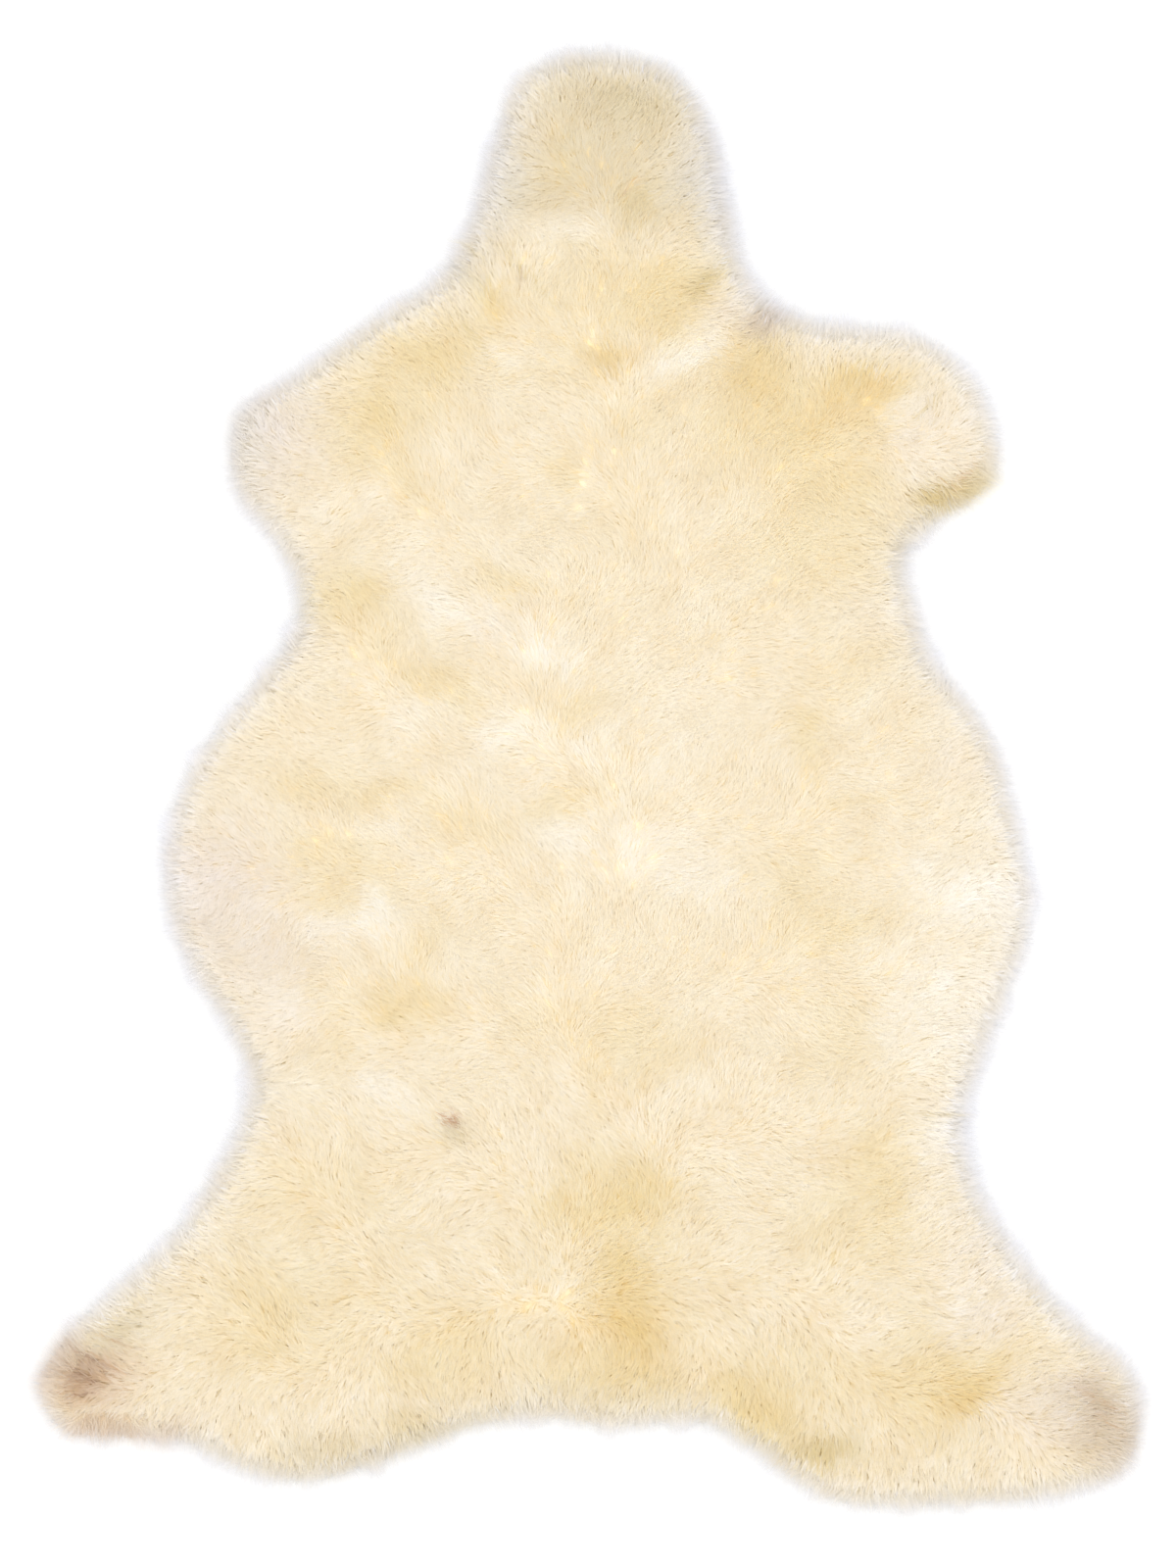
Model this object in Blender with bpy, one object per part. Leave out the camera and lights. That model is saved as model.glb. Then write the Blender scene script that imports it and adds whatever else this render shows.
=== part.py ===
"""Sheepskin rug: one whole lambskin with its wool on, lying flat with the wool up.

The hide is a thin sheet, trimmed to the animal's outline. Its wool stands on it as one soft,
lumpy slab, deepest along the back and thinner on the feet. At the rim the slab ends in
separate locks, which fall past the hide's cut edge and lie level on the floor.

Units are metres and +Z is up. The head points to +Y, and the origin is on the floor at the
middle of the rug.
"""

import math
from collections import namedtuple

import bmesh
import bpy
import numpy as np
from mathutils import Vector
from mathutils.geometry import delaunay_2d_cdt

MM = 0.001

# The hide
HIDE_THICKNESS = 2.0 * MM
HIDE_SETBACK = 24.0 * MM  # from the edge of the wool in to the hide's cut edge
HIDE_EDGE_STEP = 14.0 * MM  # between corners of the hide's outline

# The standing wool
WOOL_DEPTH = 31.0 * MM
RIM_HEIGHT = 8.0 * MM  # where the slab ends and its locks begin
SHOULDER = 42.0 * MM  # how far in from the rim the wool reaches its full depth
BROW = 7.0 * MM  # a row of tufts just inside the rim rounds the slab's edge
TUFT_SPACING = 15.0 * MM
TUFT_RISE = 1.2 * MM
TUFT_SHIFT = 0.22  # of the spacing, so that the tufts stand in no rows

# Soft ridges and troughs that lie across the skin, where tufts lean together
RIDGE_COUNT = 260
RIDGE_LENGTH = (22.0 * MM, 48.0 * MM)  # half of it, from the shortest to the longest
RIDGE_WIDTH = (9.0 * MM, 15.0 * MM)
RIDGE_RISE = 3.2 * MM
RIDGE_TURN = 28.0  # degrees from the skin's width, at most

# The locks round the rim
LOCK_COUNT = 276
LOCK_REACH = 9.0 * MM  # from the slab's rim out to the mean edge of the wool
LOCK_LEAST, LOCK_MOST = 0.7, 1.55  # share of the reach that a lock's length takes
LOCK_SLIM, LOCK_BROAD = 0.6, 1.4  # share of the mean pitch that a lock takes
LOCK_WIDTH = 0.84  # share of its own pitch that a lock's root fills
LOCK_TIP = 0.34  # width of its tip, as a share of its root's
LOCK_TIP_HEIGHT = 1.2 * MM
LOCK_ROOT_LOW, LOCK_ROOT_HIGH = 0.8, 1.35  # share of the rim's height that a root takes
LOCK_STRAY = 22.0  # degrees to either side of the way the wool is combed, at most
LOCK_TIP_GAP = 1.5 * MM  # the least between two tips, where the rim turns inwards
LOCK_SHORTENING = 0.85  # what a crowded lock keeps of its length each time
LOCK_SHORTENINGS = 8
LOCK_TAILWARD = 0.35  # how much the locks are combed towards the tail

CURVE_STEPS = 24  # between two landmarks
SEED = 20

# The edge of the wool, clockwise from the head as seen from above, in millimetres from the
# middle of the skin: across to the right, and along to the head.
Landmark = namedtuple("Landmark", "name across along")

HEAD = (
    Landmark("crown", 9, 493),
    Landmark("poll", 59, 477),
    Landmark("cheek", 83, 439),
    Landmark("throat", 95, 388),
    Landmark("neck", 103, 350),
    Landmark("neck notch", 121, 323),
)
RIGHT_FORELEG = (
    Landmark("shoulder", 152, 309),
    Landmark("forearm", 219, 302),
    Landmark("knee", 255, 278),
    Landmark("foot front", 273, 245),
    Landmark("foot", 277, 218),
    Landmark("foot back", 262, 192),
    Landmark("underarm", 231, 172),
)
RIGHT_FLANK = (
    Landmark("armpit", 213, 151),
    Landmark("chest", 221, 117),
    Landmark("waist", 232, 81),
    Landmark("belly front", 267, 38),
    Landmark("belly", 289, -25),
    Landmark("belly fullest", 301, -85),
    Landmark("belly back", 284, -145),
    Landmark("flank", 265, -195),
    Landmark("groin", 255, -235),
)
RIGHT_HIND_LEG = (
    Landmark("thigh", 265, -281),
    Landmark("shin", 299, -334),
    Landmark("hock", 339, -377),
    Landmark("foot top", 367, -402),
    Landmark("foot", 373, -435),
    Landmark("foot end", 361, -470),
    Landmark("foot sole", 322, -485),
    Landmark("hem", 239, -492),
    Landmark("hem end", 172, -491),
)
RUMP = (
    Landmark("right corner", 142, -477),
    Landmark("right slope", 109, -452),
    Landmark("right rump", 75, -437),
    Landmark("tail", 19, -439),
    Landmark("left rump", -41, -433),
    Landmark("left slope", -95, -444),
    Landmark("left corner", -145, -464),
)
LEFT_HIND_LEG = (
    Landmark("hem", -191, -476),
    Landmark("hem end", -236, -468),
    Landmark("sole front", -275, -449),
    Landmark("sole", -321, -446),
    Landmark("foot end", -357, -443),
    Landmark("foot", -373, -412),
    Landmark("foot top", -349, -373),
    Landmark("hock", -318, -342),
    Landmark("shin", -285, -312),
    Landmark("thigh", -245, -252),
)
LEFT_FLANK = (
    Landmark("groin", -230, -202),
    Landmark("flank", -245, -169),
    Landmark("belly back", -277, -115),
    Landmark("belly fullest", -289, -55),
    Landmark("belly front", -270, 7),
    Landmark("waist front", -227, 65),
    Landmark("waist", -201, 98),
)
LEFT_FORELEG = (
    Landmark("armpit", -197, 129),
    Landmark("underarm", -215, 163),
    Landmark("foot back", -238, 193),
    Landmark("foot", -243, 221),
    Landmark("foot front", -235, 250),
    Landmark("forearm", -198, 275),
    Landmark("shoulder", -138, 317),
)
NECK = (
    Landmark("neck notch", -100, 341),
    Landmark("throat", -81, 379),
    Landmark("cheek", -65, 431),
    Landmark("poll", -46, 477),
)
OUTLINE = (
    HEAD
    + RIGHT_FORELEG
    + RIGHT_FLANK
    + RIGHT_HIND_LEG
    + RUMP
    + LEFT_HIND_LEG
    + LEFT_FLANK
    + LEFT_FORELEG
    + NECK
)

# Swells and hollows of the wool, in millimetres: where, half their length and width, the turn
# of their length in degrees from the skin's width, and how far they rise or sink.
Swell = namedtuple("Swell", "name across along length width turn rise")

SWELLS = (
    Swell("back", 0, -40, 330, 150, 90, 5.0),
    Swell("spine", 8, 190, 95, 12, 88, -3.0),
    Swell("head", 12, 415, 55, 48, 90, 3.0),
    Swell("nape", 5, 290, 60, 22, 10, -3.5),
    Swell("neck dip", -70, 322, 40, 18, 125, -2.5),
    Swell("right shoulder", 135, 265, 70, 30, 15, 2.5),
    Swell("right shoulder dip", 150, 225, 70, 26, 20, -3.0),
    Swell("right forefoot", 245, 225, 45, 40, 60, -7.0),
    Swell("left shoulder", -120, 235, 75, 32, 150, 3.0),
    Swell("left forefoot", -212, 215, 45, 40, 120, -6.0),
    Swell("left ribs", -70, 105, 70, 24, 165, 3.5),
    Swell("left rib dip", -150, 125, 48, 24, 160, -3.0),
    Swell("left belly dip", -190, 0, 60, 22, 175, -2.5),
    Swell("left belly", -140, -100, 60, 30, 160, 3.0),
    Swell("left flank dip", -135, -155, 45, 20, 20, -2.5),
    Swell("right belly", 225, -110, 55, 75, 0, 2.5),
    Swell("right loin dip", 150, -60, 60, 20, 10, -2.0),
    Swell("loin", 60, -170, 90, 36, 5, 2.5),
    Swell("rump dip", 22, -345, 34, 70, 5, -4.0),
    Swell("left haunch", -130, -330, 70, 46, 30, 3.0),
    Swell("right haunch", 150, -340, 75, 46, 150, 3.0),
    Swell("left hind foot", -330, -400, 60, 48, 30, -11.0),
    Swell("right hind foot", 330, -430, 60, 50, 150, -9.0),
    Swell("rump edge", 0, -425, 120, 24, 0, -3.0),
)

WOOL_COLOUR = (0.91, 0.79, 0.58, 1.0)
WOOL_ROUGHNESS = 0.95
HIDE_COLOUR = (0.66, 0.56, 0.43, 1.0)
HIDE_ROUGHNESS = 0.85
WOOL_SLOT, HIDE_SLOT = 0, 1

WITHIN = 1  # what the triangulation returns: only the triangles inside its border
SAME_PLACE = 1e-9  # points nearer than this would be one

random = np.random.default_rng(SEED)


# --- Curves on the floor, as rows of x and y -------------------------------------------------


def between(a, b, start, end, at):
    """The point at a knot value on the line from a, at start, to b, at end."""
    share = (at - start) / (end - start)
    return a + (b - a) * share


def smooth_stretch(p0, p1, p2, p3):
    """Points of the centripetal Catmull-Rom curve that runs from p1 to p2."""
    knots = [0.0]
    for a, b in ((p0, p1), (p1, p2), (p2, p3)):
        knots.append(knots[-1] + math.sqrt(np.linalg.norm(b - a)))
    k0, k1, k2, k3 = knots
    points = []
    for at in np.linspace(k1, k2, CURVE_STEPS, endpoint=False):
        a = between(p0, p1, k0, k1, at)
        b = between(p1, p2, k1, k2, at)
        c = between(p2, p3, k2, k3, at)
        points.append(between(between(a, b, k0, k2, at), between(b, c, k1, k3, at), k1, k2, at))
    return points


def smooth_loop(landmarks):
    """The closed curve through the landmarks."""
    corners = np.array([(mark.across, mark.along) for mark in landmarks]) * MM
    count = len(corners)
    points = []
    for i in range(count):
        points += smooth_stretch(*(corners[(i + step) % count] for step in (-1, 0, 1, 2)))
    return np.array(points)


def along_loop(loop, stations):
    """Points of the loop at the given shares of its length."""
    closed = np.vstack([loop, loop[:1]])
    steps = np.linalg.norm(np.diff(closed, axis=0), axis=1)
    walked = np.concatenate([[0.0], np.cumsum(steps)]) / steps.sum()
    stations = np.asarray(stations) % 1.0
    return np.stack([np.interp(stations, walked, column) for column in closed.T], axis=1)


def loop_length(loop):
    return float(np.linalg.norm(np.roll(loop, -1, axis=0) - loop, axis=1).sum())


def outward(loop):
    """The unit vector that points out of a clockwise loop, at each of its points."""
    ahead = np.roll(loop, -1, axis=0) - np.roll(loop, 1, axis=0)
    normal = np.stack([-ahead[:, 1], ahead[:, 0]], axis=1)
    return normal / np.linalg.norm(normal, axis=1, keepdims=True)


def distance_to(points, loop):
    """How far each point is from the nearest edge of the loop."""
    start = loop[None, :, :]
    edge = np.roll(loop, -1, axis=0)[None, :, :] - start
    reach = points[:, None, :] - start
    share = (reach * edge).sum(axis=2) / (edge**2).sum(axis=2)
    nearest = reach - edge * share.clip(0.0, 1.0)[:, :, None]
    return np.sqrt((nearest**2).sum(axis=2).min(axis=1))


def inside(points, loop):
    """Whether each point lies inside the loop, by counting the edges to its right."""
    x, y = points[:, :1], points[:, 1:]
    ahead = np.roll(loop, -1, axis=0)
    spans = (loop[:, 1] > y) != (ahead[:, 1] > y)
    rise = np.where(ahead[:, 1] == loop[:, 1], 1.0, ahead[:, 1] - loop[:, 1])
    crossing = loop[:, 0] + (y - loop[:, 1]) / rise * (ahead[:, 0] - loop[:, 0])
    return (spans & (x < crossing)).sum(axis=1) % 2 == 1


def inset(loop, distance):
    """The loop moved inwards, without the points that a tight corner would fold over."""
    moved = loop - outward(loop) * distance
    return moved[distance_to(moved, loop) > 0.98 * distance]


# --- The wool's height -----------------------------------------------------------------------


def mound(points, middle, length, width, turn, rise):
    """The height of one soft mound or hollow at each point."""
    x, y = (points - middle).T
    turn = math.radians(turn)
    lengthwise = (x * math.cos(turn) + y * math.sin(turn)) / length
    widthwise = (y * math.cos(turn) - x * math.sin(turn)) / width
    return rise * np.exp(-(lengthwise**2) - widthwise**2)


def swell_height(points):
    """What the named swells and hollows add to the wool's depth."""
    total = np.zeros(len(points))
    for swell in SWELLS:
        middle = np.array([swell.across, swell.along]) * MM
        total += mound(
            points, middle, swell.length * MM, swell.width * MM, swell.turn, swell.rise * MM
        )
    return total


def ridge_height(points):
    """What the small ridges and troughs add, scattered all over the skin."""
    total = np.zeros(len(points))
    low, high = points.min(axis=0), points.max(axis=0)
    for _ in range(RIDGE_COUNT):
        middle = random.uniform(low, high)
        length = random.uniform(*RIDGE_LENGTH)
        width = random.uniform(*RIDGE_WIDTH)
        turn = random.uniform(-RIDGE_TURN, RIDGE_TURN)
        rise = random.uniform(-RIDGE_RISE, RIDGE_RISE)
        total += mound(points, middle, length, width, turn, rise)
    return total


def wool_height(points, rim):
    """How high the wool stands: a rounded shoulder at the rim, then its full, uneven depth."""
    full = HIDE_THICKNESS + WOOL_DEPTH + swell_height(points) + ridge_height(points)
    full += random.uniform(-TUFT_RISE, TUFT_RISE, len(points))
    inwards = (distance_to(points, rim) / SHOULDER).clip(0.0, 1.0)
    rounded = np.sqrt(1.0 - (1.0 - inwards) ** 2)
    return RIM_HEIGHT + (full - RIM_HEIGHT) * rounded


def tuft_places(rim):
    """The tufts of the slab's top: a row just inside the rim, and a loose lattice within."""
    brow = inset(rim, BROW)
    brow = along_loop(brow, np.arange(LOCK_COUNT) / LOCK_COUNT)
    low, high = rim.min(axis=0), rim.max(axis=0)
    row_step = TUFT_SPACING * math.sqrt(0.75)
    rows = []
    for number, y in enumerate(np.arange(low[1], high[1], row_step)):
        x = np.arange(low[0], high[0], TUFT_SPACING) + (number % 2) * TUFT_SPACING / 2
        rows.append(np.stack([x, np.full(len(x), y)], axis=1))
    lattice = np.vstack(rows)
    lattice += random.uniform(-TUFT_SHIFT, TUFT_SHIFT, lattice.shape) * TUFT_SPACING
    lattice = lattice[inside(lattice, rim)]
    lattice = lattice[distance_to(lattice, rim) > BROW + 0.6 * TUFT_SPACING]
    return np.vstack([brow, lattice])


# --- The locks -------------------------------------------------------------------------------


def lock_stations():
    """Where each lock's root begins and ends, as shares of the rim's length."""
    pitch = random.uniform(LOCK_SLIM, LOCK_BROAD, LOCK_COUNT)
    pitch /= pitch.sum()
    start = np.cumsum(pitch) - pitch
    return np.stack([start, start + pitch * LOCK_WIDTH], axis=1)


def lock_reaches(roots, widths, ways):
    """How far each lock reaches, shorter where neighbours would meet in a notch."""
    reach = LOCK_REACH * random.uniform(LOCK_LEAST, LOCK_MOST, LOCK_COUNT)
    tip_room = LOCK_TIP * (widths + np.roll(widths, -1)) / 2 + LOCK_TIP_GAP
    for _ in range(LOCK_SHORTENINGS):
        tips = roots + ways * reach[:, None]
        crowded = np.linalg.norm(np.roll(tips, -1, axis=0) - tips, axis=1) < tip_room
        crowded |= np.roll(crowded, 1)
        reach[crowded] *= LOCK_SHORTENING
    return reach


def lock_ways(roots):
    """The level direction that each lock points in: out of the rim, combed tailwards."""
    ways = outward(roots)
    ways[:, 1] -= LOCK_TAILWARD * np.abs(ways[:, 0])
    aim = np.arctan2(ways[:, 1], ways[:, 0])
    aim += np.radians(random.uniform(-LOCK_STRAY, LOCK_STRAY, len(roots)))
    return np.stack([np.cos(aim), np.sin(aim)], axis=1)


# --- The solid -------------------------------------------------------------------------------


def filled(loops, places=()):
    """Triangles that fill the first loop and follow all of them, by number of their points."""
    points = [Vector(p) for loop in loops for p in loop] + [Vector(p) for p in places]
    edges, start = [], 0
    for loop in loops:
        count = len(loop)
        edges += [(start + i, start + (i + 1) % count) for i in range(count)]
        start += count
    border = list(range(len(loops[0])))
    _, _, faces, origins, _, _ = delaunay_2d_cdt(points, edges, [border], WITHIN, SAME_PLACE)
    return [tuple(origins[i][0] for i in face) for face in faces]


def add_points(bm, flat, heights):
    return [bm.verts.new((x, y, z)) for (x, y), z in zip(flat, heights)]


def add_faces(bm, verts, triangles, slot):
    for triangle in triangles:
        bm.faces.new([verts[i] for i in triangle]).material_index = slot


def add_wall(bm, upper, lower, slot):
    """Quads between two closed rows of as many points; returned in the rows' order."""
    wall = []
    for i in range(len(upper)):
        after = (i + 1) % len(upper)
        face = bm.faces.new((upper[i], upper[after], lower[after], lower[i]))
        face.material_index = slot
        wall.append(face)
    return wall


def add_top(bm, rim):
    """The slab's top; returns the points of its rim."""
    places = tuft_places(rim)
    triangles = filled([rim], places)
    root_share = random.uniform(LOCK_ROOT_LOW, LOCK_ROOT_HIGH, LOCK_COUNT)
    rim_height = RIM_HEIGHT * root_share.repeat(2)
    heights = np.concatenate([rim_height, wool_height(places, rim)])
    verts = add_points(bm, np.vstack([rim, places]), heights)
    add_faces(bm, verts, triangles, WOOL_SLOT)
    return verts[: len(rim)]


def add_underside(bm, edge, rim, rim_foot):
    """The wool's fall from the hide to the floor, the hide's cut edge and its flat flesh side."""
    outline = inset(edge, HIDE_SETBACK)
    corners = round(loop_length(outline) / HIDE_EDGE_STEP)
    outline = along_loop(outline, np.arange(corners) / corners)
    upper = add_points(bm, outline, np.full(corners, HIDE_THICKNESS))
    lower = add_points(bm, outline, np.zeros(corners))
    triangles = filled([rim, outline])
    hem = [t for t in triangles if min(t) < len(rim)]
    add_faces(bm, rim_foot + upper, hem, WOOL_SLOT)
    add_wall(bm, upper, lower, HIDE_SLOT)
    add_faces(bm, lower, filled([outline]), HIDE_SLOT)


def pull_locks(bm, wall, roots, ways, reaches):
    """Pulls every second face of the rim's wall out into a tapering lock that lies level."""
    pulled = bmesh.ops.extrude_discrete_faces(bm, faces=wall[::2])["faces"]
    for face, root, way, reach in zip(pulled, roots, ways, reaches):
        tip = root + way * reach
        for vert in face.verts:
            across = np.array(vert.co.xy) - root
            spot = tip + across * LOCK_TIP
            low = vert.co.z < LOCK_TIP_HEIGHT
            vert.co = (spot[0], spot[1], 0.0 if low else LOCK_TIP_HEIGHT)


def centre_on_floor(bm):
    """Moves the rug so that the middle of its box is over the origin."""
    places = np.array([vert.co for vert in bm.verts])
    middle = (places.min(axis=0) + places.max(axis=0)) / 2
    bmesh.ops.translate(bm, verts=bm.verts, vec=(-middle[0], -middle[1], 0.0))


def sheepskin_mesh():
    edge = smooth_loop(OUTLINE)
    slab_edge = inset(edge, LOCK_REACH)
    rim = along_loop(slab_edge, lock_stations().ravel())
    ends = rim.reshape(LOCK_COUNT, 2, 2)
    roots = ends.mean(axis=1)
    widths = np.linalg.norm(ends[:, 1] - ends[:, 0], axis=1)
    ways = lock_ways(roots)
    bm = bmesh.new()
    rim_top = add_top(bm, rim)
    rim_foot = add_points(bm, rim, np.zeros(len(rim)))
    wall = add_wall(bm, rim_top, rim_foot, WOOL_SLOT)
    add_underside(bm, edge, rim, rim_foot)
    pull_locks(bm, wall, roots, ways, lock_reaches(roots, widths, ways))
    bmesh.ops.recalc_face_normals(bm, faces=bm.faces)
    centre_on_floor(bm)
    mesh = bpy.data.meshes.new("sheepskin")
    bm.to_mesh(mesh)
    bm.free()
    return mesh


# --- Materials and the scene -----------------------------------------------------------------


def plain_material(name, colour, roughness):
    material = bpy.data.materials.new(name)
    material.use_nodes = True
    shader = material.node_tree.nodes["Principled BSDF"]
    shader.inputs["Base Color"].default_value = colour
    shader.inputs["Roughness"].default_value = roughness
    shader.inputs["Metallic"].default_value = 0.0
    return material


def make_sheepskin():
    mesh = sheepskin_mesh()
    mesh.materials.append(plain_material("wool", WOOL_COLOUR, WOOL_ROUGHNESS))
    mesh.materials.append(plain_material("suede", HIDE_COLOUR, HIDE_ROUGHNESS))
    mesh.shade_smooth()
    mesh.set_sharp_from_angle(angle=math.radians(50))
    rug = bpy.data.objects.new("sheepskin", mesh)
    bpy.context.scene.collection.objects.link(rug)
    return rug


def clear_scene():
    for thing in list(bpy.data.objects):
        bpy.data.objects.remove(thing, do_unlink=True)


clear_scene()
make_sheepskin()
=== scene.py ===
# %% [markdown]
# # A sheepskin rug, wool side up
# The rug is one whole lambskin with its wool still on it: a thin tanned hide below, a deep
# soft fleece above, and the shape of the animal's head, legs and belly in its outline. The
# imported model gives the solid: how far the wool reaches and how high it stands. This lesson
# dresses that solid with a hide, a dense underwool, combed locks all over it, a soft fringe
# round its rim, and the natural colours and marks of the wool.

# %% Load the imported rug
import math

import bmesh
import bpy
import numpy as np
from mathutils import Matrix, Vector, kdtree
from mathutils.bvhtree import BVHTree
from mathutils.geometry import delaunay_2d_cdt


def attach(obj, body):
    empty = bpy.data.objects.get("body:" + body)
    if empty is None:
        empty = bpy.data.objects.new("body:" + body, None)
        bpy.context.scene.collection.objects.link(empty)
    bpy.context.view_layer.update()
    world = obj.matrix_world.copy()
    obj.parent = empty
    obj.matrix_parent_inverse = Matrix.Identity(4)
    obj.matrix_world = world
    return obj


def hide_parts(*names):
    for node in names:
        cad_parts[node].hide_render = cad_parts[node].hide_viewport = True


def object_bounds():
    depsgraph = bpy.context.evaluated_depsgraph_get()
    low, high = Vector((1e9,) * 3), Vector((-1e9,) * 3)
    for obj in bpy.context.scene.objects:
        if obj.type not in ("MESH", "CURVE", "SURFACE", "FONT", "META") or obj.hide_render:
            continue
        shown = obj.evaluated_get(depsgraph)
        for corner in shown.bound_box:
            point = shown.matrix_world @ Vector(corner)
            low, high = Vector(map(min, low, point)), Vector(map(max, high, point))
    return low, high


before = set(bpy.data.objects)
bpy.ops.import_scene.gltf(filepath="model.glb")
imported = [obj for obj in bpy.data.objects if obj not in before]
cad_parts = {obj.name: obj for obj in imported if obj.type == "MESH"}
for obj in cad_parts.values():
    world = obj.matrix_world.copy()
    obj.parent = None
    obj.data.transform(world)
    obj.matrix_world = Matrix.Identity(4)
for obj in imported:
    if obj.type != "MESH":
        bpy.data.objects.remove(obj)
cad_box = [list(corner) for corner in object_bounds()]
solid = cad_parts["sheepskin"]
MM = 0.001
print("the solid's box:", cad_box)

# %% [markdown]
# ## The camera
# The skin was photographed from straight above. A camera without perspective would do, but a
# real one has a lens. A long lens far away keeps the edge of the wool and its top at nearly
# the same scale, so distances in the picture can be trusted. It looks at a point a few
# millimetres from the middle of the skin, as in the photograph.

# %% Camera straight above the skin
VIEW_HEIGHT = 1.0667  # metres of floor from the top to the bottom of the picture
LENS, SENSOR = 135.0, 36.0  # millimetres
AIM = (-2.6 * MM, -2.5 * MM)
SEES_TO = 100.0


def in_scene(name, data):
    """A new object that holds the data, put in the scene."""
    made = bpy.data.objects.new(name, data)
    bpy.context.scene.collection.objects.link(made)
    return made


camera = in_scene("camera", bpy.data.cameras.new("camera"))
camera.data.lens, camera.data.sensor_width = LENS, SENSOR
camera.location = (*AIM, VIEW_HEIGHT * LENS / SENSOR)
camera.data.clip_end = SEES_TO
bpy.context.scene.camera = camera
print("camera height:", round(camera.location.z, 3), "m")

# %% [markdown]
# ## Two outlines read from the solid
# The underside of the solid holds two outlines that everything else is built from: the cut
# edge of the hide, and the foot of the wool, where the locks of the rim begin. Between them
# lies a narrow hem of wool that slopes from the hide down to the floor. They could be drawn
# again, but a second drawing never fits for long. Faces of the hem are easy to tell: they look
# down, and they touch both heights. Walking along the hem's border gives each outline as a
# ring of points.

# %% Weld the solid's faces and walk its two rings
HIDE_THICKNESS = 2 * MM
SAME_HEIGHT = 0.05 * MM
SAME_POINT = 1e-6
LOOKS_DOWN = -0.5  # a face looks down when its normal points up less than this

body = bmesh.new()
body.from_mesh(solid.data)
bmesh.ops.remove_doubles(body, verts=body.verts, dist=SAME_POINT)
body.normal_update()


def at_height(vert, height):
    return abs(vert.co.z - height) < SAME_HEIGHT


def is_hem(face):
    return (
        face.normal.z < LOOKS_DOWN
        and any(at_height(v, HIDE_THICKNESS) for v in face.verts)
        and any(at_height(v, 0.0) for v in face.verts)
    )


def signed_area(ring):
    """The area of a ring of points, above zero where it runs anticlockwise."""
    x, y = ring.T
    return (x * np.roll(y, -1) - np.roll(x, -1) * y).sum() / 2


def ring_at(height, hem):
    """The border of the hem at one height, as points in order, anticlockwise."""
    onward = {}
    for face in hem:
        for edge in face.edges:
            a, b = edge.verts
            if not (at_height(a, height) and at_height(b, height)):
                continue
            if sum(other in hem for other in edge.link_faces) == 1:
                onward.setdefault(a, []).append(b)
                onward.setdefault(b, []).append(a)
    start = next(iter(onward))
    ring, last, here = [start], start, onward[start][0]
    while here is not start:
        ring.append(here)
        a, b = onward[here]
        last, here = here, (b if a is last else a)
    points = np.array([v.co.xy for v in ring])
    return points if signed_area(points) > 0 else points[::-1]


# A dict keeps its faces in order, so both walks start at the same place in every run.
hem_faces = dict.fromkeys(face for face in body.faces if is_hem(face))
hide_ring = ring_at(HIDE_THICKNESS, hem_faces)
wool_ring = ring_at(0.0, hem_faces)
print(len(hide_ring), "points round the hide,", len(wool_ring), "round the foot of the wool")

# %% [markdown]
# ## A chart of the skin
# A groomer knows at each place how deep the wool is and which way it falls. Here that
# knowledge is a chart: a grid of small squares over the skin that holds, for each square, the
# height of the wool, its distance in from the rim and the way out. A ray shot down on the
# solid finds each height. The solid could be asked again for every one of the many thousand
# locks, but reading a chart is much quicker.

# %% Helpers that work on rings of points
def ring_length(ring):
    return np.linalg.norm(np.roll(ring, -1, axis=0) - ring, axis=1).sum()


def resample(ring, count):
    """The same ring with its points spaced evenly."""
    closed = np.vstack([ring, ring[:1]])
    run = np.concatenate([[0], np.cumsum(np.linalg.norm(np.diff(closed, axis=0), axis=1))])
    stations = np.arange(count) * run[-1] / count
    return np.column_stack([np.interp(stations, run, closed[:, k]) for k in (0, 1)])


def ways_out(ring):
    """Unit vectors that point out of an anticlockwise ring."""
    along = np.roll(ring, -1, axis=0) - np.roll(ring, 1, axis=0)
    out = np.column_stack([along[:, 1], -along[:, 0]])
    return out / np.linalg.norm(out, axis=1, keepdims=True)


def within(points, ring):
    """Which of the points lie inside the ring: those whose level line crosses it oddly."""
    x, y = points.T[:, :, None]
    (ax, ay), (bx, by) = ring.T, np.roll(ring, -1, axis=0).T
    crosses = (ay > y) != (by > y)
    rise = np.where(by == ay, 1.0, by - ay)
    return (crosses & (x < ax + (y - ay) * (bx - ax) / rise)).sum(axis=1) % 2 == 1


def in_parts(work, points, parts=40):
    """Long work done part by part, so that it needs little memory."""
    return np.concatenate([work(part) for part in np.array_split(points, parts)])


def gap_to(ring, points):
    """How far each point is from the nearest point of the ring."""
    tree = kdtree.KDTree(len(ring))
    for number, (x, y) in enumerate(ring):
        tree.insert((x, y, 0), number)
    tree.balance()
    return np.array([tree.find((x, y, 0))[2] for x, y in points])


print("the wool's foot is", round(ring_length(wool_ring), 3), "m round")

# %% Chart the height, the distance to the rim and the way out
SQUARE = 4 * MM
MARGIN = 24 * MM
OUT_REACH = 34 * MM  # how far in the rim still turns the wool
FINE_POINTS, EVEN_POINTS = 3000, 500  # round the rim, to measure gaps and to find the way out

low = np.array(cad_box[0][:2]) - MARGIN
high = np.array(cad_box[1][:2]) + MARGIN
columns, rows = np.ceil((high - low) / SQUARE).astype(int) + 1
chart_x = low[0] + SQUARE * np.arange(columns)
chart_y = low[1] + SQUARE * np.arange(rows)
squares = np.stack(np.meshgrid(chart_x, chart_y), axis=-1).reshape(-1, 2)

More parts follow.
